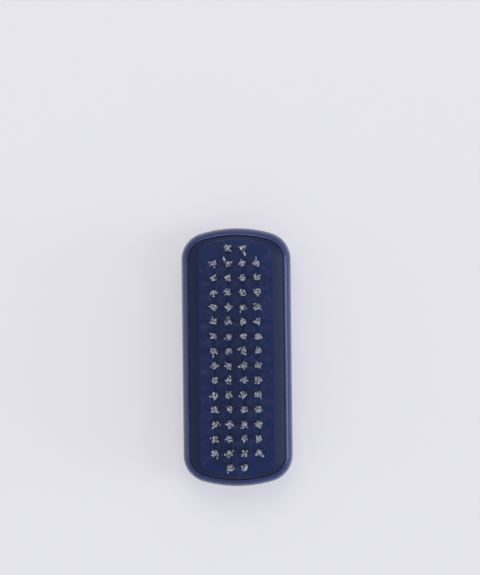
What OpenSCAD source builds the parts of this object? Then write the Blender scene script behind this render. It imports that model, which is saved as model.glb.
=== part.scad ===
// Nail brush that lies on its back with the bristles up. A hollow grip shell carries a bristle
// block, and the block holds rows of tufts, each pinned in a blind hole by a flat metal anchor.
// The origin is on the ground under the middle, X runs across, Y along and Z out of the bristles.

/* [Body outline] */
// Width of the body where it is widest
body_w = 44; // [38:1:56]
// Length of the body over its bowed ends
body_l = 104; // [84:1:130]
// Radius of the four corners, seen from above
corner_r = 11; // [9:0.5:14]
// Radius of the bowed ends, seen from above
bow_r = 50; // [40:1:90]

/* [Grip shell] */
// Height at which the shell is widest
belly_z = 15; // [12:0.5:16]
// How far the rounded back draws in at each side, down to the flat foot
back_in_side = 8.8; // [5:0.2:10]
// How far the rounded back draws in at each end, down to the flat foot
back_in_end = 10.8; // [6:0.2:14]
// Corner radius of the flat foot
foot_corner_r = 8; // [5:0.5:9]
// End radius of the flat foot
foot_bow_r = 30; // [24:1:60]
// How far the rim draws in from the widest line up to its crest
rim_in = 2.5; // [1:0.1:3]
// Width of the flat land on the rim's crest
rim_land = 0.3; // [0.2:0.1:1]
// Depth of the finger grooves along both sides
groove_d = 2.4; // [1:0.2:3]
// Height of the middle of the finger grooves
groove_z = 9; // [8:0.5:10]
// Height over which the finger grooves fade out
groove_h = 13; // [8:0.5:16]
// Length of the finger grooves
groove_l = 66; // [40:2:80]
// Wall of the shell behind the finger grooves
wall = 1.8; // [1.4:0.1:2.6]
// Thickness of the shell's floor
floor_t = 4; // [3:0.5:6]

/* [Bristle block] */
// Height of the deck that the tufts stand on
deck_z = 24; // [22:0.5:30]
// Thickness of the block, from its deck down to the ledge that it sits on
block_t = 8.5; // [8:0.5:10]
// How far the deck stands above the rim's crest
rim_drop = 2; // [1:0.1:3]
// Depth of the seam between the rim and the block's shoulder
seam_depth = 0.4; // [0.3:0.1:1.5]
// Width of the seam between the rim and the block
seam_gap = 0.15; // [0.1:0.05:0.5]
// Width of the sloping shoulder between the seam and the deck, along the sides
shoulder_side_w = 4.3; // [1:0.1:4.6]
// Width of the sloping shoulder at the ends
shoulder_end_w = 1.4; // [1:0.1:2.4]
// Corner radius of the deck
deck_corner_r = 4.5; // [3:0.5:7]
// End radius of the deck
deck_bow_r = 31; // [26:1:60]

/* [Snap pegs] */
// Distance of the pegs from the body's sides
peg_side_in = 13; // [11:0.5:14]
// Distance of the pegs from the body's ends
peg_end_in = 17; // [15:0.5:26]
// Diameter of the pegs under the block
peg_d = 4; // [2.5:0.5:5]
// Length of the pegs
peg_l = 5; // [3:0.5:7]
// Outer diameter of the bosses that take the pegs
boss_d = 7; // [6.5:0.5:8]
// Clearance around a peg in its boss
peg_clear = 0.1; // [0.05:0.05:0.2]
// Clearance under a peg in its boss
peg_end_gap = 0.5; // [0.2:0.1:1]

/* [Tuft field] */
// Rows of tufts along the body
tuft_rows = 16; // [8:1:18]
// Tufts across a full row; the two end rows lack the outer ones
tuft_cols = 4; // [3:1:5]
// Distance of the outer columns from the body's sides
field_side_in = 13.3; // [11:0.1:15]
// Distance of the end rows from the body's ends
field_end_in = 8.5; // [7.3:0.1:12]
// Diameter of the blind tuft holes
hole_d = 2.5; // [2:0.1:2.8]
// Depth of the blind tuft holes
hole_depth = 6.5; // [5:0.5:7]

/* [Tufts] */
// Length of the bristles above the deck
bristle_h = 12.5; // [8:0.5:20]
// Strands in each tuft
strand_count = 8; // [5:1:8]
// Thickness of a strand
strand_d = 0.56; // [0.4:0.02:0.6]
// Diameter of a tuft at its tips
tip_d = 3.1; // [2.6:0.1:3.6]
// How far a tip strays from its even place
tip_stray = 0.15; // [0:0.01:0.2]
// How far a strand's length strays from the trimmed length
length_stray = 0.25; // [0:0.05:0.5]
// Depth of a tuft's bound root below the deck
root_recess = 0.4; // [0.2:0.1:0.8]
// Clearance between a tuft's root and its hole
root_clear = 0.05; // [0.03:0.01:0.1]

/* [Tuft anchors] */
// Thickness of an anchor plate
anchor_t = 0.35; // [0.2:0.05:0.5]
// Height of an anchor plate
anchor_h = 1.8; // [1:0.1:2.4]
// Thickness of the fold of bristle under an anchor
fold_t = 0.8; // [0.4:0.1:1.2]
// Clearance around an anchor
anchor_clear = 0.05; // [0.02:0.01:0.1]

/* [Hidden] */
shell_colour = [0.08, 0.11, 0.27];
block_colour = [0.09, 0.12, 0.30];
bristle_colour = [0.80, 0.81, 0.80];
anchor_colour = [0.72, 0.60, 0.33];

// Steps along a quarter of the outline: its straight side, its corner and half of its bowed end
side_steps = 7;
corner_steps = 6;
bow_steps = 5;
// Steps up the rounded back, up the rim and over the block's shoulder
back_steps = 10;
rim_steps = 8;
shoulder_steps = 5;
// Squareness of the shoulder's section, where 2 is an ellipse and 1 a straight slope
shoulder_power = 1.15;
// Sides of a tuft hole
hole_sides = 12;
// Sides of a tuft's bound root
root_sides = 6;
// Sides of a strand
strand_sides = 3;
// Sides of a peg and its boss
round_sides = 48;
// How far a cutter runs past the face that it opens
overrun = 1;
// How far joined solids reach into each other
bite = 0.3;

half_w = body_w / 2;
half_l = body_l / 2;
rim_z = deck_z - rim_drop;
ledge_z = deck_z - block_t;
shoulder_z = rim_z - seam_depth;
rim_w = rim_in + rim_land;
block_in = rim_w + seam_gap;
// Share of its whole draw-in that the rounded back has reached, down at a height
function back_share(z) = 1 - sqrt(1 - pow(1 - z / belly_z, 2));
// The cavity keeps the wall's thickness behind the grooves and at the ends of the floor
cavity_in = wall + max(back_in_side * back_share(groove_z) + groove_d, back_in_end * back_share(floor_t));
peg_x = half_w - peg_side_in;
peg_y = half_l - peg_end_in;
peg_places = [for (sx = [-1, 1], sy = [-1, 1]) [sx * peg_x, sy * peg_y]];
col_pitch = (body_w - 2 * field_side_in) / (tuft_cols - 1);
row_pitch = (body_l - 2 * field_end_in) / (tuft_rows - 1);
hole_z = deck_z - hole_depth;
root_r = hole_d / 2 - root_clear;
root_top = deck_z - root_recess;
strand_r = strand_d / 2;
strand_root_r = root_r * cos(180 / root_sides) - strand_r;
strand_tip_r = tip_d / 2 - strand_r;
anchor_z = hole_z + fold_t;
// The plate's corners stop short of the flats beside the hole's end corners
anchor_w = hole_d - anchor_t * tan(180 / hole_sides) - 2 * anchor_clear;

function row_name(row) = str("tuft_row_", row < 9 ? "0" : "", row + 1);

// Points along an arc about a centre, without its last point
function arc(centre, r, from, to, steps) = [
    for (i = [0 : steps - 1])
        let (a = from + (to - from) * i / steps)
        [centre.x + r * cos(a), centre.y + r * sin(a)]
];

// Quarter of the outline, from the middle of the right side to the middle of the far end
function quarter(hw, hl, bow, corner) =
    let (
        bow_y = hl - bow,
        corner_x = hw - corner,
        corner_y = bow_y + sqrt(pow(bow - corner, 2) - pow(corner_x, 2)),
        meet = atan2(corner_y - bow_y, corner_x)
    )
    concat(
        [for (i = [0 : side_steps - 1]) [hw, corner_y * i / side_steps]],
        arc([corner_x, corner_y], corner, 0, meet, corner_steps),
        arc([0, bow_y], bow, meet, 90, bow_steps),
        [[0, hl]]
    );

// Whole outline, anticlockwise, from its half width, half length, end radius and corner radius
function outline(hw, hl, bow, corner) =
    let (q = quarter(hw, hl, bow, corner), n = len(q) - 1)
    concat(
        [for (i = [0 : n - 1]) q[i]],
        [for (i = [n : -1 : 1]) [-q[i].x, q[i].y]],
        [for (i = [0 : n - 1]) [-q[i].x, -q[i].y]],
        [for (i = [n : -1 : 1]) [q[i].x, -q[i].y]]
    );

// The body's outline drawn in by the same distance all round
function inset(d) = outline(half_w - d, half_l - d, bow_r - d, corner_r - d);

function at_height(points, z) = [for (p = points) [p.x, p.y, z]];

// Value at a share of the way from one value to another
function between(from, to, share) = from + (to - from) * share;

// 1 in the middle of a span, falling smoothly to 0 at its ends
function fade(at, middle, span) =
    let (s = min(abs(at - middle) / (span / 2), 1))
    pow(cos(90 * s), 2);

// Pulls a ring of points in towards the middle where the finger grooves run
function grooved(points, z, hw) = [
    for (p = points)
        let (depth = groove_d * fade(p.y, 0, groove_l) * fade(z, groove_z, groove_h))
        [p.x * (1 - depth / hw), p.y, z]
];

// Ring of the rounded back; angle 0 is the flat foot and 90 the widest line
function back_ring(angle) =
    let (
        share = 1 - sin(angle),
        z = belly_z * (1 - cos(angle)),
        hw = half_w - back_in_side * share,
        hl = half_l - back_in_end * share,
        bow = between(bow_r, foot_bow_r, share),
        corner = between(corner_r, foot_corner_r, share)
    )
    grooved(outline(hw, hl, bow, corner), z, hw);

// Ring of the rim, a quarter ellipse in section; angle 0 is the widest line and 90 the crest
function rim_ring(angle) =
    let (z = belly_z + (rim_z - belly_z) * sin(angle), d = rim_in * (1 - cos(angle)))
    grooved(inset(d), z, half_w - d);

// Closed solid through a stack of outlines; its end faces start from the middle of the far end,
// because no three corners in a fan from there lie on one line
module loft(rings) {
    n = len(rings[0]);
    first = n / 4;
    top = (len(rings) - 1) * n;
    walls = [
        for (k = [0 : len(rings) - 2], i = [0 : n - 1])
            let (a = k * n + i, b = k * n + (i + 1) % n)
            each [[a, a + n, b + n], [a, b + n, b]]
    ];
    foot_face = [for (i = [0 : n - 1]) (first + i) % n];
    top_face = [for (i = [0 : n - 1]) top + (first + n - i) % n];
    polyhedron(points = [for (ring = rings) each ring], faces = concat([foot_face], walls, [top_face]));
}

// Upright prism on a closed outline
module prism(points, from, to) {
    translate([0, 0, from]) linear_extrude(to - from) polygon(points);
}

module at_pegs() {
    for (place = peg_places) translate(place) children();
}

// Columns that hold a tuft in a row: all of them, or all but the outer two in the end rows
function row_cols(row) =
    row == 0 || row == tuft_rows - 1 ? [1 : tuft_cols - 2] : [0 : tuft_cols - 1];

// Places of the tufts in a row, with row 0 at the far end
function row_places(row) = [
    for (col = row_cols(row))
        [(col - (tuft_cols - 1) / 2) * col_pitch, ((tuft_rows - 1) / 2 - row) * row_pitch]
];

module grip_shell() {
    color(shell_colour)
    difference() {
        union() {
            difference() {
                loft(concat(
                    [for (i = [0 : back_steps]) back_ring(90 * i / back_steps)],
                    [for (i = [1 : rim_steps]) rim_ring(90 * i / rim_steps)]
                ));
                prism(inset(rim_w), ledge_z, rim_z + overrun);
                prism(inset(cavity_in), floor_t, ledge_z + overrun);
            }
            at_pegs()
                translate([0, 0, floor_t - bite])
                cylinder(h = ledge_z - floor_t + bite, d = boss_d, $fn = round_sides);
        }
        at_pegs()
            translate([0, 0, ledge_z - peg_l - peg_end_gap])
            cylinder(h = peg_l + peg_end_gap + overrun, d = peg_d + 2 * peg_clear, $fn = round_sides);
    }
}

// Ring of the block's sloping shoulder; angle 0 is the seam and 90 the edge of the deck
function shoulder_ring(angle) =
    let (
        share = 1 - pow(cos(angle), 2 / shoulder_power),
        z = shoulder_z + (deck_z - shoulder_z) * pow(sin(angle), 2 / shoulder_power),
        hw = half_w - block_in - shoulder_side_w * share,
        hl = half_l - block_in - shoulder_end_w * share,
        bow = between(bow_r - block_in, deck_bow_r, share),
        corner = between(corner_r - block_in, deck_corner_r, share)
    )
    at_height(outline(hw, hl, bow, corner), z);

module bristle_block() {
    color(block_colour)
    difference() {
        union() {
            loft(concat(
                [at_height(inset(block_in), ledge_z)],
                [for (i = [0 : shoulder_steps]) shoulder_ring(90 * i / shoulder_steps)]
            ));
            at_pegs()
                translate([0, 0, ledge_z - peg_l])
                cylinder(h = peg_l + bite, d = peg_d, $fn = round_sides);
        }
        for (row = [0 : tuft_rows - 1], place = row_places(row))
            translate([place.x, place.y, hole_z])
            cylinder(h = hole_depth + overrun, d = hole_d, $fn = hole_sides);
    }
}

// Corners of a strand's cross-section about a point
function strand_ring(at, turn) = [
    for (i = [0 : strand_sides - 1])
        let (a = turn + 360 * i / strand_sides)
        [at.x + strand_r * cos(a), at.y + strand_r * sin(a), at.z]
];

// One straight strand from a point on top of the root to its tip
module strand(from, to, turn) {
    side_faces = [
        for (i = [0 : strand_sides - 1])
            let (j = (i + 1) % strand_sides)
            each [[i, i + strand_sides, j + strand_sides], [i, j + strand_sides, j]]
    ];
    foot_face = [for (i = [0 : strand_sides - 1]) i];
    tip_face = [for (i = [strand_sides - 1 : -1 : 0]) strand_sides + i];
    polyhedron(
        points = concat(strand_ring(from, turn), strand_ring(to, turn)),
        faces = concat([foot_face], side_faces, [tip_face])
    );
}

// A tuft: its folded root with the slot for the anchor, and its strands, one in the middle of the rest
module tuft(seed) {
    stray = rands(-1, 1, 3 * strand_count, seed);
    tuft_turn = rands(0, 360, 1, seed)[0];
    difference() {
        translate([0, 0, hole_z])
            cylinder(h = root_top - hole_z, r = root_r, $fn = root_sides);
        translate([-hole_d / 2, -anchor_t / 2 - anchor_clear, anchor_z])
            cube([hole_d, anchor_t + 2 * anchor_clear, anchor_h + anchor_clear]);
    }
    for (i = [0 : strand_count - 1]) {
        ring_share = i == 0 ? 0 : 1;
        a = tuft_turn + 360 * i / (strand_count - 1);
        out = ring_share * [cos(a), sin(a)];
        tip = out * strand_tip_r + tip_stray * [stray[3 * i], stray[3 * i + 1]];
        root = out * strand_root_r;
        strand(
            [root.x, root.y, root_top],
            [tip.x, tip.y, deck_z + bristle_h + length_stray * stray[3 * i + 2]],
            a
        );
    }
}

module tuft_row(row) {
    places = row_places(row);
    color(bristle_colour)
    for (i = [0 : len(places) - 1])
        translate(places[i])
        tuft(1 + row * tuft_cols + i);
}

module tuft_anchors() {
    color(anchor_colour)
    for (row = [0 : tuft_rows - 1], place = row_places(row))
        translate([place.x - anchor_w / 2, place.y - anchor_t / 2, anchor_z])
        cube([anchor_w, anchor_t, anchor_h]);
}

grip_shell();
bristle_block();
tuft_anchors();
for (row = [0 : tuft_rows - 1])
    tuft_row(row);
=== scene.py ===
import itertools
import math
import random

import bmesh
import bpy
from mathutils import Matrix, Vector


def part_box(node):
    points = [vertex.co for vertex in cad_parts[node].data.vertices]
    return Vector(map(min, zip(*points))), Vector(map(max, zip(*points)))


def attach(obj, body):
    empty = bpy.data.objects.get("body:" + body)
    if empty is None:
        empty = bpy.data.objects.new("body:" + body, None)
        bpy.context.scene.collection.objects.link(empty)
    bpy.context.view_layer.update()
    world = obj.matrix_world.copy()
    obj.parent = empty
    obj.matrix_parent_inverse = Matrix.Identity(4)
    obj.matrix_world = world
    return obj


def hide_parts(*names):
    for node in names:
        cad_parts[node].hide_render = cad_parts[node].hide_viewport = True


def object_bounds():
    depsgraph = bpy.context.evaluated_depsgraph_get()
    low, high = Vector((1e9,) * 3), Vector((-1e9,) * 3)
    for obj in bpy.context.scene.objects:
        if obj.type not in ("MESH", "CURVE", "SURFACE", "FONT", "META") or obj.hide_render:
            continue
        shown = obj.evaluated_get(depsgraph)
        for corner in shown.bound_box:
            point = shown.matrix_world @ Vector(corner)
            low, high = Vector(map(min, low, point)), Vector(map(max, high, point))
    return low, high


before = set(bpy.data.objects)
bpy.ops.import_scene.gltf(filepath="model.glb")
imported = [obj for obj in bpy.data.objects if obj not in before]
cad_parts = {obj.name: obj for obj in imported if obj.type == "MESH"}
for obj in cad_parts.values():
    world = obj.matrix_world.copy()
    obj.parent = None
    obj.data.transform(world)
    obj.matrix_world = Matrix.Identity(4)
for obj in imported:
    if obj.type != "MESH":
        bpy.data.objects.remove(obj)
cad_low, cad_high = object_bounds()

# Lengths are in metres

# Camera, from the photograph's 480 x 575 frame
IMAGE_W, IMAGE_H = 480, 575
BODY_CENTRE_PX = (237.1, 357.1)
FLOOR_M_PER_PX = 0.4098e-3
CAMERA_HEIGHT = 1.0
SENSOR_MM = 36
VIEW_TILT = math.radians(1.45)
VIEW_ROLL = math.radians(0.63)

# Body outline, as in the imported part
CORNER_R = 0.011
BOW_R = 0.050

# Grip shell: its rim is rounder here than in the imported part, right up to the rounded lip
BELLY_Z = 0.015
BACK_IN_SIDE = 0.0088
BACK_IN_END = 0.0108
FOOT_CORNER_R = 0.008
FOOT_BOW_R = 0.030
RIM_IN = 0.0027
LIP_R = 0.00014
GROOVE_D = 0.0024
GROOVE_Z = 0.009
GROOVE_H = 0.013
GROOVE_L = 0.066
CAVITY_Z = 0.004
CAVITY_IN = 0.00526
BOSS_D = 0.007
BOSS_BORE_D = 0.0042

# Bristle block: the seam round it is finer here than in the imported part
BLOCK_T = 0.0085
SEAM_W = 0.00008
SEAM_DEPTH = 0.0002
SHOULDER_SIDE_W = 0.0043
SHOULDER_END_W = 0.0014
SHOULDER_POWER = 1.15
DECK_CORNER_R = 0.0045
DECK_BOW_R = 0.031
DECK_BAND = 0.0003
PEG_SIDE_IN = 0.013
PEG_END_IN = 0.017
PEG_D = 0.004
PEG_L = 0.005
PEG_CHAMFER = 0.0003

# Tuft holes and anchors
TUFT_COLS = 4
HOLE_D = 0.0025
HOLE_DEPTH = 0.0065
MOUTH_R = 0.00012
MOUTH_BAND = 2 * MOUTH_R
ANCHOR_T = 0.00035
ANCHOR_CLEAR = 0.00005

# Filaments in their hole: a full layer on each side of the anchor, then an outer one
FILAMENT_D = 0.00032
FILAMENT_GAP = 0.00009
INNER_FILAMENTS, OUTER_FILAMENTS = 5, 4
LAYER_SHARE = 0.88
FOLD_RISE = 0.0006
CLUSTER_STRETCH = 1.3
MOUTH_DEPTH = 0.0006
MOUTH_SPREAD = 1.1

# Filaments above the deck
BEND_SHARE = 0.45
SWAY = 0.00012
CUT_BEVEL = 0.00003
TIP_CUT_STRAY = 0.0004
TIP_SPREAD = (0.92, 1.12)
TIP_STRAY = 0.0002
MAX_TWIST = math.radians(60)
# Lean of a tuft's tips: by chance every way, and by column towards +X
TUFT_LEAN = 0.00016
COLUMN_LEAN = (0.00017, 0.0, 0.00019, -0.00013)
# Dent that presses some tips aside, clumps that the tips gather in, and tips that come loose
DENT_OUT = (0.0002, 0.0011)
DENT_R = (0.0004, 0.0008)
DENT_SQUEEZE = 0.35
CLUMPS = (6, 9)
CLUMP_PULL = (0.2, 0.6)
CLUMP_GAP = 0.00002
LOOSE_TIPS = (4, 8)
LOOSE_OUT = (0.0001, 0.0006)
SETTLE_STEPS = 16
SEED = 40
# Tufts, by row and column, with filaments that stand well out: how many, and how far across
# and along
STRAYS = {
    (1, 3): (4, (0.0010, -0.0026)),
    (2, 2): (5, (-0.0015, 0.0019)),
    (2, 4): (1, (0.0001, 0.0024)),
    (6, 2): (2, (0.0002, 0.0020)),
    (8, 3): (4, (-0.0018, 0.0008)),
    (9, 3): (3, (-0.0015, -0.0004)),
    (10, 3): (3, (-0.0014, 0.0004)),
    (15, 4): (3, (0.0020, -0.0010)),
}
NO_STRAYS = (0, (0, 0))
STRAY_SHARES = (0.7, 1.0)
STRAY_GATHER = 0.6

# Mesh steps: a quarter outline's straight, corner and bow, the sections, and the round parts
SIDE_STEPS, CORNER_STEPS, BOW_STEPS = 20, 16, 12
BACK_STEPS, RIM_STEPS, LIP_STEPS, SHOULDER_STEPS = 24, 20, 5, 18
HOLE_STEPS, MOUTH_STEPS, PEG_STEPS = 28, 5, 40
FILAMENT_SIDES, FILAMENT_STEPS, FOLD_STEPS = 8, 7, 6
SMOOTH_ANGLE = math.radians(50)

# Materials. Colours are linear, a noise is its scale a metre, detail and roughness, a span is the
# two values of a noise or a slope that count as 0 and 1, and a bump is its distance and strength
SHELL_DEEP = (0.0115, 0.0215, 0.098, 1)
SHELL_PALE = (0.0150, 0.0280, 0.120, 1)
BLOCK_DEEP = (0.0040, 0.0140, 0.070, 1)
BLOCK_PALE = (0.0055, 0.0175, 0.084, 1)
PLASTIC_IOR = 1.47
PLASTIC_ROUGHNESS = 0.24
SHELL_SPECULAR, BLOCK_SPECULAR = 0.45, 0.24
FLOW_NOISE, FLOW_SPAN = (60, 3, 0.5), (0.3, 0.7)
GRAIN_NOISE = (1600, 3, 0.5)
HAZE_NOISE, HAZE_SPAN = (130, 5, 0.6), (0.35, 0.75)
HAZE_ROUGHNESS = 0.10
# The block's slopes: the normal's rise on the deck and on the shoulder, their painted shade and
# roughness
SLOPE_SPAN = (0.99, 0.94)
PAINTED_SLOPE_SHADE = (0.80, 0.62, 0.53, 1)
SLOPE_ROUGHNESS = 0.22
# Wear: sparse hairlines in two directions (turn, scale), and pointed edges rubbed in places,
# the edges lighter partly as wear and partly as a painted edge highlight
HAIRLINES = ((0.35, 5200), (-1.1, 4300))
HAIRLINE_STRETCH = 90
HAIRLINE_NOISE, HAIRLINE_SPAN = (1, 2, 0.5), (0.66, 0.72)
SPARSE_NOISE, SPARSE_SPAN = (90, 2, 0.5), (0.5, 0.7)
EDGE_SPAN = (0.515, 0.60)
RUBBED_AND_HIGHLIT_NOISE, RUBBED_AND_HIGHLIT_SPAN = (420, 4, 0.5), (0.4, 0.7)
WORN_AND_HIGHLIT_GREY, WORN_AND_HIGHLIT_GREY_SHARE = 0.30, 0.22
WEAR_AND_HIGHLIGHT_SHARE = 0.25
WEAR_ROUGHNESS = 0.30
GRAIN_RELIEF, HAIRLINE_RELIEF = 0.35, 0.5
PLASTIC_BUMP = (0.00002, 0.5)

STRAND_DEEP = (0.84, 0.84, 0.87, 1)
STRAND_PALE = (0.96, 0.96, 0.98, 1)
END_DEEP = (0.43, 0.435, 0.585, 1)
END_PALE = (0.87, 0.885, 0.95, 1)
NYLON_IOR = 1.53
STRAND_CLARITY, END_CLARITY = 0.68, 0.05
STRAND_ROUGHNESS, END_ROUGHNESS = 0.28, 0.6
CUT_SPAN = (0.7, 0.9)
CLOUD_NOISE, CLOUD_SPAN = (700, 3, 0.5), (0.2, 0.8)
SPECKLE_NOISE, SPECKLE_SPAN = (2500, 2, 0.5), (0.3, 0.6)
NYLON_NOISE = (6000, 2, 0.5)
NYLON_BUMP = (0.00001, 0.4)

BRASS_DEEP = (0.44, 0.31, 0.13, 1)
BRASS_PALE = (0.66, 0.51, 0.25, 1)
FILM_NOISE = (900, 4, 0.5)
STREAK_STRETCH = (600, 600, 9000)
STREAK_NOISE, STREAK_SPAN = (1, 3, 0.5), (0.3, 0.7)
BRASS_ROUGHNESS = (0.28, 0.5)
BRASS_BUMP = (0.00001, 0.6)

# Studio: the floor keeps its shadow under a veil of the background's colour
FLOOR_HALF = 4.0
FLOOR_LOW = (0.885, 0.825, 0.84, 1)
FLOOR_HIGH = (0.915, 0.855, 0.87, 1)
FLOOR_NOISE = (6, 3, 0.5)
FLOOR_ROUGHNESS = 0.75
FLOOR_VEIL = 0.55
BACKGROUND_COLOUR = (0.742, 0.74, 0.80, 1)
BACKGROUND_STRENGTH = 1.0
SKY_COLOUR = (0.88, 0.94, 1.0, 1)
HORIZON_STRENGTH, ZENITH_STRENGTH = 1.0, 0.63
HORIZON_RISE, ZENITH_RISE = 0.12, 0.36
# A softbox towards the picture's top, and soft suns, one from the left and two from the right:
# angles in degrees, and power in watts for the softbox and watts a square metre for the suns
KEY = {"azimuth": 90, "elevation": 64, "distance": 2.2, "size": 1.0, "power": 11.6}
KEY_COLOUR = (1.0, 0.98, 0.96)
SIDE_COLOUR = (0.76, 0.84, 1.0)
SIDE_LIGHTS = {
    "left_side": {"azimuth": 185, "elevation": 8, "spread": 16, "power": 0.28},
    "right_side": {"azimuth": -5, "elevation": 13, "spread": 30, "power": 1.4},
    "right_high": {"azimuth": -5, "elevation": 50, "spread": 18, "power": 0.45},
}

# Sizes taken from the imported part
shell_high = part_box("grip_shell")[1]
block_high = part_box("bristle_block")[1]
anchors_low, anchors_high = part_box("tuft_anchors")
row_names = sorted(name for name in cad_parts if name.startswith("tuft_row_"))
row_count = len(row_names)

half_w, half_l, rim_z = shell_high
deck_z = block_high.z
block_in = half_w - block_high.x
ledge_z = deck_z - BLOCK_T
shoulder_z = rim_z - SEAM_DEPTH
pocket_in = block_in - SEAM_W
hole_z = deck_z - HOLE_DEPTH
anchor_z, anchor_top = anchors_low.z, anchors_high.z
# Tufts are as far apart across the body as along it
pitch = (anchors_high.y - anchors_low.y - ANCHOR_T) / (row_count - 1)
# Above its anchor a tuft closes by half the slot that the anchor takes
tuft_closing = ANCHOR_T / 2 + ANCHOR_CLEAR - FILAMENT_GAP / 2


def mix(start, end, share):
    return start + (end - start) * share


# Shapes

def around(centre, radius, angles):
    return [(centre[0] + radius * math.cos(a), centre[1] + radius * math.sin(a)) for a in angles]


def arc(centre, radius, start, end, steps):
    """Points along an arc about a centre, without its last point."""
    return around(centre, radius, [mix(start, end, i / steps) for i in range(steps)])


def outline(hw, hl, bow, corner):
    """Closed outline, anticlockwise: straight sides, round corners and bowed ends."""
    bow_y = hl - bow
    corner_x = hw - corner
    corner_y = bow_y + math.sqrt((bow - corner) ** 2 - corner_x ** 2)
    meet = math.atan2(corner_y - bow_y, corner_x)
    quarter = [(hw, corner_y * i / SIDE_STEPS) for i in range(SIDE_STEPS)]
    quarter += arc((corner_x, corner_y), corner, 0, meet, CORNER_STEPS)
    quarter += arc((0, bow_y), bow, meet, math.pi / 2, BOW_STEPS)
    back = quarter[1:] + [(0, hl)]
    far_left = [(-x, y) for x, y in reversed(back)]
    near_left = [(-x, -y) for x, y in quarter]
    near_right = [(x, -y) for x, y in reversed(back)]
    return quarter + far_left + near_left + near_right


def inset(distance):
    """The body's outline, drawn in evenly."""
    return outline(half_w - distance, half_l - distance, BOW_R - distance, CORNER_R - distance)


def at_height(points, z):
    return [(x, y, z) for x, y in points]


def circle(centre, radius, z, steps):
    angles = [2 * math.pi * i / steps for i in range(steps)]
    return at_height(around(centre, radius, angles), z)


def fade(at, middle, span):
    """1 in the middle of a span, falling smoothly to 0 at its ends."""
    share = min(abs(at - middle) / (span / 2), 1)
    return math.cos(math.pi / 2 * share) ** 2


def grooved(points, z, hw):
    """A ring of points drawn in where the finger grooves run."""
    depth_at_z = GROOVE_D * fade(z, GROOVE_Z, GROOVE_H)
    return [(x * (1 - depth_at_z * fade(y, 0, GROOVE_L) / hw), y, z) for x, y in points]


def back_ring(angle):
    """Ring of the rounded back, from the flat foot at 0 to the widest line at a right angle."""
    share = 1 - math.sin(angle)
    hw = half_w - BACK_IN_SIDE * share
    hl = half_l - BACK_IN_END * share
    points = outline(hw, hl, mix(BOW_R, FOOT_BOW_R, share), mix(CORNER_R, FOOT_CORNER_R, share))
    return grooved(points, BELLY_Z * (1 - math.cos(angle)), hw)


def rim_ring(angle):
    """Ring of the rim, from the widest line at 0 to the crest at a right angle."""
    distance = RIM_IN * (1 - math.cos(angle))
    z = BELLY_Z + (rim_z - BELLY_Z) * math.sin(angle)
    return grooved(inset(distance), z, half_w - distance)


def lip_ring(angle):
    """Ring of the rounded lip, from the rim's crest at 0 to the pocket's wall at a right angle."""
    distance = pocket_in - LIP_R + LIP_R * math.sin(angle)
    return at_height(inset(distance), rim_z - LIP_R + LIP_R * math.cos(angle))


def shoulder_ring(angle):
    """Ring of the block's sloping shoulder, from the seam at 0 to the deck at a right angle."""
    share = 1 - math.cos(angle) ** (2 / SHOULDER_POWER)
    rise = math.sin(angle) ** (2 / SHOULDER_POWER)
    points = outline(
        half_w - block_in - SHOULDER_SIDE_W * share,
        half_l - block_in - SHOULDER_END_W * share,
        mix(BOW_R - block_in, DECK_BOW_R, share),
        mix(CORNER_R - block_in, DECK_CORNER_R, share),
    )
    return at_height(points, mix(shoulder_z, deck_z, rise))


def quarter_angles(steps, first=0):
    """Angles from 0 to a right angle in even steps, from the first one wanted."""
    return [math.pi / 2 * i / steps for i in range(first, steps + 1)]


class Shape:
    """Vertices and faces of one piece, gathered ring by ring."""

    def __init__(self):
        self.vertices = []
        self.faces = []

    def ring(self, points):
        start = len(self.vertices)
        self.vertices += points
        return list(range(start, start + len(points)))

    def join(self, lower, upper):
        count = len(lower)
        for i in range(count):
            j = (i + 1) % count
            self.faces.append((lower[i], lower[j], upper[j], upper[i]))

    def loft(self, rings, first_cap=True, last_cap=True):
        """Walls through rings of equal length, closed by flat end faces unless told otherwise."""
        made = [self.ring(points) for points in rings]
        for lower, upper in zip(made, made[1:]):
            self.join(lower, upper)
        if first_cap:
            self.faces.append(tuple(reversed(made[0])))
        if last_cap:
            self.faces.append(tuple(made[-1]))
        return made

    def piece(self, name, material, node, slot):
        mesh = bpy.data.meshes.new(name)
        mesh.from_pydata(self.vertices, [], self.faces)
        mesh.materials.append(material)
        mesh.shade_smooth()
        mesh.set_sharp_from_angle(angle=SMOOTH_ANGLE)
        made = bpy.data.objects.new(name, mesh)
        bpy.context.scene.collection.objects.link(made)
        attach(made, "root")
        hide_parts(node)
        return made


def peg_places():
    x, y = half_w - PEG_SIDE_IN, half_l - PEG_END_IN
    return [(sx * x, sy * y) for sx in (-1, 1) for sy in (-1, 1)]


def tuft_places(row):
    """Places of a row's tufts as (column, x, y); the end rows lack their outer two."""
    last = row_count - 1
    cols = range(1, TUFT_COLS - 1) if row in (0, last) else range(TUFT_COLS)
    y = (last / 2 - row) * pitch
    return [(col, (col - (TUFT_COLS - 1) / 2) * pitch, y) for col in cols]


# Pieces

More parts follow.
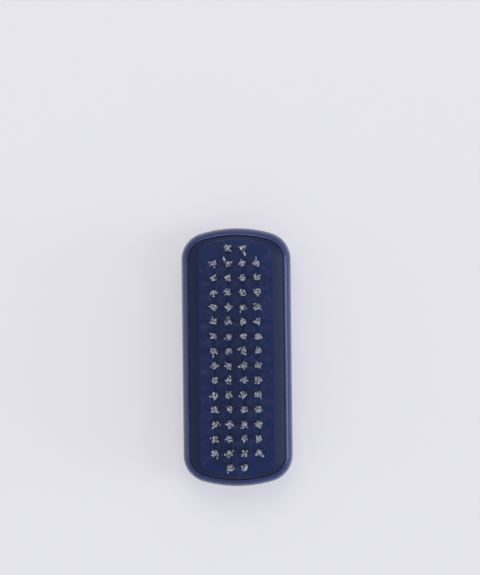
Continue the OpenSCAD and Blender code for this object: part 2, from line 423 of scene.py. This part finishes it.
def make_grip_shell(material):
    shape = Shape()
    shape.loft(
        [back_ring(a) for a in quarter_angles(BACK_STEPS)]
        + [rim_ring(a) for a in quarter_angles(RIM_STEPS, 1)]
        + [lip_ring(a) for a in quarter_angles(LIP_STEPS)]
        + [at_height(inset(pocket_in), ledge_z)]
        + [at_height(inset(CAVITY_IN), ledge_z)]
        + [at_height(inset(CAVITY_IN), CAVITY_Z)]
    )
    for place in peg_places():
        shape.loft([
            circle(place, BOSS_D / 2, CAVITY_Z - LIP_R, PEG_STEPS),
            circle(place, BOSS_D / 2, ledge_z - LIP_R, PEG_STEPS),
            circle(place, BOSS_D / 2 - LIP_R, ledge_z, PEG_STEPS),
            circle(place, BOSS_BORE_D / 2 + LIP_R, ledge_z, PEG_STEPS),
            circle(place, BOSS_BORE_D / 2, ledge_z - LIP_R, PEG_STEPS),
            circle(place, BOSS_BORE_D / 2, ledge_z - PEG_L - LIP_R, PEG_STEPS),
        ])
    return shape.piece("grip_shell_moulding", material, "grip_shell", "shell_plastic")


def make_tuft_hole(shape, x, y):
    """A blind hole with a rounded mouth. Returns the ring that it meets the deck in."""
    radius = HOLE_D / 2
    profile = [(radius + MOUTH_BAND, deck_z)]
    profile += [
        (radius + MOUTH_R * (1 - math.sin(a)), deck_z - MOUTH_R * (1 - math.cos(a)))
        for a in quarter_angles(MOUTH_STEPS)
    ]
    profile.append((radius, hole_z))
    rings = [circle((x, y), r, z, HOLE_STEPS) for r, z in profile]
    return shape.loft(rings, first_cap=False)[0]


def fill_deck(shape, edge, mouths):
    """Flat faces between the deck's edge ring and the mouths of the tuft holes."""
    flat = bmesh.new()
    corners = {}
    for ring in [edge, *mouths]:
        for index in ring:
            corners[index] = flat.verts.new(shape.vertices[index])
        for a, b in zip(ring, ring[1:] + ring[:1]):
            flat.edges.new((corners[a], corners[b]))
    bmesh.ops.triangle_fill(flat, use_beauty=True, edges=flat.edges[:], normal=(0, 0, 1))
    index_of = {vert: index for index, vert in corners.items()}
    for face in flat.faces:
        order = [index_of[v] for v in face.verts]
        shape.faces.append(tuple(order if face.normal.z > 0 else reversed(order)))
    flat.free()


def make_bristle_block(material):
    shape = Shape()
    edge_band = outline(
        half_w - block_in - SHOULDER_SIDE_W - DECK_BAND,
        half_l - block_in - SHOULDER_END_W - DECK_BAND,
        DECK_BOW_R - DECK_BAND,
        DECK_CORNER_R - DECK_BAND,
    )
    rings = [at_height(inset(block_in), ledge_z)]
    rings += [shoulder_ring(a) for a in quarter_angles(SHOULDER_STEPS)]
    rings.append(at_height(edge_band, deck_z))
    edge = shape.loft(rings, last_cap=False)[-1]
    mouths = [
        make_tuft_hole(shape, x, y) for row in range(row_count) for _, x, y in tuft_places(row)
    ]
    fill_deck(shape, edge, mouths)
    for place in peg_places():
        end_z = ledge_z - PEG_L
        shape.loft([
            circle(place, PEG_D / 2 - PEG_CHAMFER, end_z, PEG_STEPS),
            circle(place, PEG_D / 2, end_z + PEG_CHAMFER, PEG_STEPS),
            circle(place, PEG_D / 2, ledge_z + PEG_CHAMFER, PEG_STEPS),
        ])
    piece = shape.piece("bristle_block_moulding", material, "bristle_block", "block_plastic")
    piece.modifiers.new("even_shading", "WEIGHTED_NORMAL").keep_sharp = True
    return piece


def closed_up(across, out):
    """Where a filament stands in its tuft above the anchor, as drawn together there."""
    return Vector((across, math.copysign(abs(out) - tuft_closing, out) * CLUSTER_STRETCH))


def filament_seats():
    """Where filaments pass the anchor, as (across, out, fold depth), layer by layer."""
    step = FILAMENT_D + FILAMENT_GAP
    inner_out = ANCHOR_T / 2 + ANCHOR_CLEAR + FILAMENT_D / 2
    layers = [
        (INNER_FILAMENTS, inner_out, 0),
        (OUTER_FILAMENTS, inner_out + step * LAYER_SHARE, 1),
    ]
    return [
        ((i - (count - 1) / 2) * step, out, anchor_z - FILAMENT_D * (0.5 + layer * LAYER_SHARE))
        for count, out, layer in layers
        for i in range(count)
    ]


def filament_path(centre, seat, tips, sways):
    """A folded filament's centre line: down from one tip, under the anchor, up to the other."""
    across, out, fold_z = seat
    legs = []
    for side, tip, sway in zip((-1, 1), tips, sways):
        spread = closed_up(across, side * out) * MOUTH_SPREAD
        mouth = centre + Vector((*spread, deck_z - MOUTH_DEPTH))
        leg = [centre + Vector((across, side * out, anchor_top))]
        for i in range(FILAMENT_STEPS + 1):
            share = i / FILAMENT_STEPS
            lean = mix(share, share ** 2, BEND_SHARE)
            point = Vector((
                mix(mouth.x, tip.x, lean),
                mix(mouth.y, tip.y, lean),
                mix(mouth.z, tip.z, share),
            ))
            leg.append(point + sway * math.sin(math.pi * share))
        cut = leg[-1] + (leg[-2] - leg[-1]).normalized() * CUT_BEVEL
        legs.append(leg[:-1] + [cut, leg[-1]])
    fold = []
    for i in range(FOLD_STEPS + 1):
        turn = math.pi * (i / FOLD_STEPS - 0.5)
        z = fold_z + FOLD_RISE * (1 - math.cos(turn))
        fold.append(centre + Vector((across, out * math.sin(turn), z)))
    return legs[0][::-1] + fold + legs[1]


def filament_rings(path):
    """Cross-sections square to a filament's centre line, a little narrower at its cut tips."""
    angles = [2 * math.pi * k / FILAMENT_SIDES for k in range(FILAMENT_SIDES)]
    last = len(path) - 1
    rings = []
    for i, point in enumerate(path):
        along = (path[min(i + 1, last)] - path[max(i - 1, 0)]).normalized()
        side = (Vector((1, 0, 0)) - along * along.x).normalized()
        up = along.cross(side)
        radius = FILAMENT_D / 2 - (CUT_BEVEL if i in (0, last) else 0)
        rings.append([
            tuple(point + radius * (side * math.cos(a) + up * math.sin(a))) for a in angles
        ])
    return rings


def settle(tips):
    """Pushes crowded tips apart, over and over, until hardly any overlap."""
    for _ in range(SETTLE_STEPS):
        for one, other in itertools.combinations(tips, 2):
            gap = other - one
            short = FILAMENT_D + CLUMP_GAP - gap.length
            if short > 0:
                push = gap.normalized() * short / 2
                one -= push
                other += push


def gather(draw, tips):
    """Draws tips together into clumps, each round a tip picked well apart from the others."""
    leaders = [draw.choice(tips)]
    for _ in range(draw.randint(*CLUMPS) - 1):
        leaders.append(max(tips, key=lambda tip: min((tip - leader).length for leader in leaders)))
    for tip in tips:
        leader = min(leaders, key=lambda place: (tip - place).length)
        tip += (leader - tip) * draw.uniform(*CLUMP_PULL)


def tip_places(draw, row, col):
    """Where a tuft's filaments end, two for each seat: a twisted, dented and clumped cluster."""
    twist = Matrix.Rotation(draw.uniform(-MAX_TWIST, MAX_TWIST), 2)
    spread = draw.uniform(*TIP_SPREAD)
    lean = Vector((draw.gauss(COLUMN_LEAN[col], TUFT_LEAN), draw.gauss(0, TUFT_LEAN)))
    dent_turn = draw.uniform(0, 2 * math.pi)
    dent = Vector((math.cos(dent_turn), math.sin(dent_turn))) * draw.uniform(*DENT_OUT)
    dent_r = draw.uniform(*DENT_R)
    tips = []
    for across, out, _ in filament_seats():
        for side in (-1, 1):
            tip = twist @ closed_up(across, side * out) * spread
            away = tip - dent
            if away.length < dent_r:
                tip = dent + away.normalized() * mix(dent_r, away.length, DENT_SQUEEZE)
            tips.append(tip + Vector((draw.gauss(0, TIP_STRAY), draw.gauss(0, TIP_STRAY))))
    gather(draw, tips)
    outer = sorted(tips, key=lambda tip: -tip.length)[:len(tips) // 2]
    for tip in draw.sample(outer, draw.randint(*LOOSE_TIPS)):
        tip += tip.normalized() * draw.uniform(*LOOSE_OUT)
    stray_count, stray_move = STRAYS.get((row + 1, col + 1), NO_STRAYS)
    move = Vector(stray_move)
    for tip in sorted(tips, key=lambda tip: -tip.dot(move))[:stray_count]:
        tip += move * draw.uniform(*STRAY_SHARES) - tip * STRAY_GATHER
    settle(tips)
    return [tip + lean for tip in tips]


def make_tuft(shape, row, col, x, y):
    """Filaments of one tuft. Returns a tone for each vertex that it adds."""
    draw = random.Random(SEED + row * TUFT_COLS + col)
    centre = Vector((x, y, 0))
    ends = [
        centre + Vector((*tip, cad_high.z - CUT_BEVEL - draw.uniform(0, TIP_CUT_STRAY)))
        for tip in tip_places(draw, row, col)
    ]
    tones = []
    for i, seat in enumerate(filament_seats()):
        sways = [Vector((draw.gauss(0, SWAY), draw.gauss(0, SWAY), 0)) for _ in range(2)]
        before = len(shape.vertices)
        shape.loft(filament_rings(filament_path(centre, seat, ends[2 * i:2 * i + 2], sways)))
        tones += [draw.random()] * (len(shape.vertices) - before)
    return tones


def make_tuft_row(row, material):
    shape = Shape()
    tones = []
    for col, x, y in tuft_places(row):
        tones += make_tuft(shape, row, col, x, y)
    name = row_names[row]
    piece_name = name.replace("tuft_row", "filaments_row")
    piece = shape.piece(piece_name, material, name, "bristle_nylon")
    piece.data.attributes.new("tone", "FLOAT", "POINT").data.foreach_set("value", tones)
    return piece


# Shader trees

def feed(tree, node, inputs):
    """Sets a node's inputs to values, or joins them to sockets."""
    for name, value in inputs.items():
        if isinstance(value, bpy.types.NodeSocket):
            tree.links.new(value, node.inputs[name])
        else:
            node.inputs[name].default_value = value


def add(tree, kind, inputs=None, **settings):
    """A shader node with its settings and inputs."""
    node = tree.nodes.new(kind)
    for name, value in settings.items():
        setattr(node, name, value)
    feed(tree, node, inputs or {})
    return node


def new_material(name, **constants):
    """A material, its tree and its Principled shader, with the shader's own values set."""
    material = bpy.data.materials.new(name)
    material.use_nodes = True
    tree = material.node_tree
    shader = tree.nodes["Principled BSDF"]
    feed(tree, shader, {socket.replace("_", " "): value for socket, value in constants.items()})
    return material, tree, shader


def coordinates(tree, kind="Object"):
    return add(tree, "ShaderNodeTexCoord").outputs[kind]


def rise_of(tree, direction):
    """A direction's upward part: 1 where it points straight up, 0 where it is level."""
    return add(tree, "ShaderNodeSeparateXYZ", {0: direction}).outputs["Z"]


def surface_rise(tree):
    """How far up a surface faces: 1 where it is level, 0 where it is upright."""
    return rise_of(tree, add(tree, "ShaderNodeNewGeometry").outputs["Normal"])


def combine(tree, operation, *values):
    """A sum or other operation on values or sockets."""
    node = add(tree, "ShaderNodeMath", dict(enumerate(values)), operation=operation)
    return node.outputs[0]


def average(tree, a, b):
    return combine(tree, "MULTIPLY", combine(tree, "ADD", a, b), 0.5)


def remap(tree, value, from_span, to_span=(0.0, 1.0), way="LINEAR"):
    """A value moved from one span to another, and held inside it."""
    inputs = {
        "Value": value,
        "From Min": from_span[0],
        "From Max": from_span[1],
        "To Min": to_span[0],
        "To Max": to_span[1],
    }
    node = add(tree, "ShaderNodeMapRange", inputs, interpolation_type=way)
    return node.outputs["Result"]


def between(tree, share, low, high):
    """The value at a share of the way from low to high."""
    return remap(tree, share, (0.0, 1.0), (low, high))


def noise(tree, place, kind):
    """Noise of a kind: its scale, detail and roughness."""
    scale, detail, roughness = kind
    inputs = {"Vector": place, "Scale": scale, "Detail": detail, "Roughness": roughness}
    return add(tree, "ShaderNodeTexNoise", inputs).outputs["Fac"]


def stretched(tree, place, scale, turn=0.0):
    """Coordinates scaled along each direction, after a turn about the vertical."""
    inputs = {"Vector": place, "Rotation": (0, 0, turn), "Scale": scale}
    return add(tree, "ShaderNodeMapping", inputs).outputs["Vector"]


def blend_colours(tree, share, low, high, way="MIX"):
    """Colours are the Mix node's inputs 6 and 7, and its output 2."""
    inputs = {0: share, 6: low, 7: high}
    node = add(tree, "ShaderNodeMix", inputs, data_type="RGBA", blend_type=way)
    return node.outputs[2]


def bump(tree, shader, height, kind):
    """Relief of a kind: its distance and strength."""
    distance, strength = kind
    inputs = {"Height": height, "Distance": distance, "Strength": strength}
    feed(tree, shader, {"Normal": add(tree, "ShaderNodeBump", inputs).outputs["Normal"]})


def seen(tree):
    """1 for a ray that looks, straight, mirrored or through a filament, 0 for one that lights."""
    path = add(tree, "ShaderNodeLightPath").outputs
    direct = combine(tree, "MAXIMUM", path["Is Camera Ray"], path["Is Transmission Ray"])
    return combine(tree, "MAXIMUM", direct, path["Is Glossy Ray"])


def blend_shaders(tree, share, lit, shown, output):
    """Ends a tree in a mix of what rays that light meet and what rays that look meet."""
    mixed = add(tree, "ShaderNodeMixShader", {0: share, 1: lit, 2: shown})
    feed(tree, tree.nodes[output], {"Surface": mixed.outputs[0]})


# Materials

def hairlines(tree, place):
    """Thin straight scratches, here and there: the peaks of noise stretched far one way."""
    sets = []
    for turn, scale in HAIRLINES:
        along = stretched(tree, place, (scale, scale / HAIRLINE_STRETCH, scale), turn)
        sets.append(remap(tree, noise(tree, along, HAIRLINE_NOISE), HAIRLINE_SPAN))
    sparse = remap(tree, noise(tree, place, SPARSE_NOISE), SPARSE_SPAN)
    return combine(tree, "MULTIPLY", combine(tree, "MAXIMUM", *sets), sparse)


# Pointed edges, lighter partly as rubbed wear and partly as a painted highlight
def rubbed_and_highlit_edges(tree, place):
    edge = remap(tree, add(tree, "ShaderNodeNewGeometry").outputs["Pointiness"], EDGE_SPAN)
    rubbed_and_highlit = remap(tree, noise(tree, place, RUBBED_AND_HIGHLIT_NOISE), RUBBED_AND_HIGHLIT_SPAN)
    return combine(tree, "MULTIPLY", edge, rubbed_and_highlit)


def navy_plastic(name, deep, pale, specular, painted_slope_shade=None):
    """Glossy moulding: slow flow of tone, grain, handling haze, hairlines and rubbed edges.

    Its edges are partly a painted highlight. Given a painted slope shade, whatever isn't level is
    darker and duller.
    """
    material, tree, shader = new_material(name, IOR=PLASTIC_IOR, Specular_IOR_Level=specular)
    place = coordinates(tree)
    flow = noise(tree, place, FLOW_NOISE)
    haze = remap(tree, noise(tree, place, HAZE_NOISE), HAZE_SPAN)
    lines = hairlines(tree, place)
    # Hairlines are wear; the lighter pointed edges are partly wear and partly a painted highlight
    worn_and_highlit_most = combine(tree, "MAXIMUM", lines, rubbed_and_highlit_edges(tree, place))
    wear_and_highlight = combine(tree, "MULTIPLY", worn_and_highlit_most, WEAR_AND_HIGHLIGHT_SHARE)
    colour = blend_colours(tree, remap(tree, flow, FLOW_SPAN), deep, pale)
    rough = combine(tree, "MULTIPLY_ADD", haze, HAZE_ROUGHNESS, PLASTIC_ROUGHNESS)
    rough = combine(tree, "ADD", rough, combine(tree, "MULTIPLY", wear_and_highlight, WEAR_ROUGHNESS))
    # Painted shade: the colour is darkened where the block slopes, and the slopes are made rougher
    if painted_slope_shade:
        slope = remap(tree, surface_rise(tree), SLOPE_SPAN)
        colour = blend_colours(tree, slope, colour, painted_slope_shade, "MULTIPLY")
        rough = combine(tree, "ADD", rough, combine(tree, "MULTIPLY", slope, SLOPE_ROUGHNESS))
    worn_and_highlit = tuple(mix(c, WORN_AND_HIGHLIT_GREY, WORN_AND_HIGHLIT_GREY_SHARE) for c in pale[:3]) + (1,)
    feed(tree, shader, {"Base Color": blend_colours(tree, wear_and_highlight, colour, worn_and_highlit), "Roughness": rough})
    grain = combine(tree, "MULTIPLY", noise(tree, place, GRAIN_NOISE), GRAIN_RELIEF)
    relief = combine(tree, "SUBTRACT", grain, combine(tree, "MULTIPLY", lines, HAIRLINE_RELIEF))
    bump(tree, shader, combine(tree, "ADD", relief, flow), PLASTIC_BUMP)
    return material


def bristle_nylon():
    """Half clear off-white filament, each strand in its own tone, with duller, opaquer ends."""
    material, tree, shader = new_material("bristle_nylon", IOR=NYLON_IOR)
    place = coordinates(tree)
    tone = add(tree, "ShaderNodeAttribute", attribute_name="tone").outputs["Fac"]
    clouding = average(tree, tone, noise(tree, place, CLOUD_NOISE))
    strand = blend_colours(tree, remap(tree, clouding, CLOUD_SPAN), STRAND_DEEP, STRAND_PALE)
    speckle = remap(tree, noise(tree, place, SPECKLE_NOISE), SPECKLE_SPAN)
    end = blend_colours(tree, average(tree, tone, speckle), END_DEEP, END_PALE)
    cut = remap(tree, surface_rise(tree), CUT_SPAN)
    feed(tree, shader, {
        "Base Color": blend_colours(tree, cut, strand, end),
        "Roughness": between(tree, cut, STRAND_ROUGHNESS, END_ROUGHNESS),
        "Transmission Weight": between(tree, cut, STRAND_CLARITY, END_CLARITY),
    })
    bump(tree, shader, noise(tree, place, NYLON_NOISE), NYLON_BUMP)
    return material


def anchor_brass():
    """Punched brass wire with drawn streaks and a dull film."""
    material, tree, shader = new_material("anchor_brass", Metallic=1.0)
    place = coordinates(tree)
    film = noise(tree, place, FILM_NOISE)
    streaks = noise(tree, stretched(tree, place, STREAK_STRETCH), STREAK_NOISE)
    feed(tree, shader, {
        "Base Color": blend_colours(tree, film, BRASS_DEEP, BRASS_PALE),
        "Roughness": remap(tree, streaks, STREAK_SPAN, BRASS_ROUGHNESS),
    })
    bump(tree, shader, streaks, BRASS_BUMP)
    return material


def studio_floor():
    """Faintly mottled floor, veiled with the background's colour for rays that look."""
    material, tree, shader = new_material("studio_floor", Roughness=FLOOR_ROUGHNESS)
    mottle = noise(tree, coordinates(tree), FLOOR_NOISE)
    feed(tree, shader, {"Base Color": blend_colours(tree, mottle, FLOOR_LOW, FLOOR_HIGH)})
    plain = {"Color": BACKGROUND_COLOUR, "Strength": BACKGROUND_STRENGTH}
    shown = add(tree, "ShaderNodeEmission", plain).outputs["Emission"]
    share = combine(tree, "MULTIPLY", seen(tree), FLOOR_VEIL)
    blend_shaders(tree, share, shader.outputs["BSDF"], shown, "Material Output")
    return material


# Studio

def add_floor():
    mesh = bpy.data.meshes.new("floor")
    signs = ((-1, -1), (1, -1), (1, 1), (-1, 1))
    corners = [(sx * FLOOR_HALF, sy * FLOOR_HALF, 0) for sx, sy in signs]
    mesh.from_pydata(corners, [], [(0, 1, 2, 3)])
    mesh.materials.append(studio_floor())
    floor = bpy.data.objects.new("floor", mesh)
    bpy.context.scene.collection.objects.link(floor)


def add_camera():
    """Looks down on the brush from the photograph's place, tilted and rolled as it is there."""
    data = bpy.data.cameras.new("camera")
    data.sensor_width = SENSOR_MM
    data.lens = SENSOR_MM * CAMERA_HEIGHT / (IMAGE_H * FLOOR_M_PER_PX)
    turn = Matrix.Rotation(VIEW_TILT, 4, "Y") @ Matrix.Rotation(-VIEW_ROLL, 4, "Z")
    right, up, back = (turn.col[i].xyz for i in range(3))
    distance = CAMERA_HEIGHT - BELLY_Z
    m_per_px = FLOOR_M_PER_PX * distance / CAMERA_HEIGHT
    shift_right = (BODY_CENTRE_PX[0] - IMAGE_W / 2) * m_per_px
    shift_up = (IMAGE_H / 2 - BODY_CENTRE_PX[1]) * m_per_px
    target = Vector((0, 0, BELLY_Z)) - right * shift_right - up * shift_up
    camera = bpy.data.objects.new("camera", data)
    camera.matrix_world = Matrix.Translation(target + back * distance) @ turn
    bpy.context.scene.collection.objects.link(camera)
    bpy.context.scene.camera = camera


def add_light(data, azimuth, elevation, distance=1.0):
    """Aims a light at the brush, from an azimuth off +X and an elevation above the floor."""
    across, up = math.cos(math.radians(elevation)), math.sin(math.radians(elevation))
    turn = math.radians(azimuth)
    direction = Vector((across * math.cos(turn), across * math.sin(turn), up))
    light = bpy.data.objects.new(data.name, data)
    light.location = direction * distance
    light.rotation_euler = direction.to_track_quat("Z", "Y").to_euler()
    bpy.context.scene.collection.objects.link(light)


def add_lights():
    softbox = bpy.data.lights.new("key", "AREA")
    softbox.size = KEY["size"]
    softbox.energy = KEY["power"]
    softbox.color = KEY_COLOUR
    add_light(softbox, KEY["azimuth"], KEY["elevation"], KEY["distance"])
    for name, side in SIDE_LIGHTS.items():
        wash = bpy.data.lights.new(name, "SUN")
        wash.angle = math.radians(side["spread"])
        wash.energy = side["power"]
        wash.color = SIDE_COLOUR
        add_light(wash, side["azimuth"], side["elevation"])


def add_surroundings():
    """Soft light, strongest from the horizon, and the plain background for rays that look."""
    world = bpy.data.worlds.new("studio")
    world.use_nodes = True
    tree = world.node_tree
    rise = rise_of(tree, coordinates(tree, "Generated"))
    from_span, to_span = (HORIZON_RISE, ZENITH_RISE), (HORIZON_STRENGTH, ZENITH_STRENGTH)
    strength = remap(tree, rise, from_span, to_span, "SMOOTHSTEP")
    sky = tree.nodes["Background"]
    feed(tree, sky, {"Color": SKY_COLOUR, "Strength": strength})
    plain = {"Color": BACKGROUND_COLOUR, "Strength": BACKGROUND_STRENGTH}
    shown = add(tree, "ShaderNodeBackground", plain).outputs["Background"]
    blend_shaders(tree, seen(tree), sky.outputs["Background"], shown, "World Output")
    bpy.context.scene.world = world


add_camera()
make_grip_shell(navy_plastic("shell_plastic", SHELL_DEEP, SHELL_PALE, SHELL_SPECULAR))
make_bristle_block(
    navy_plastic("block_plastic", BLOCK_DEEP, BLOCK_PALE, BLOCK_SPECULAR, PAINTED_SLOPE_SHADE)
)
nylon = bristle_nylon()
for row in range(row_count):
    make_tuft_row(row, nylon)
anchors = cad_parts["tuft_anchors"]
anchors.data.materials.clear()
anchors.data.materials.append(anchor_brass())
add_floor()
add_surroundings()
add_lights()
bpy.context.scene.view_settings.view_transform = "Standard"
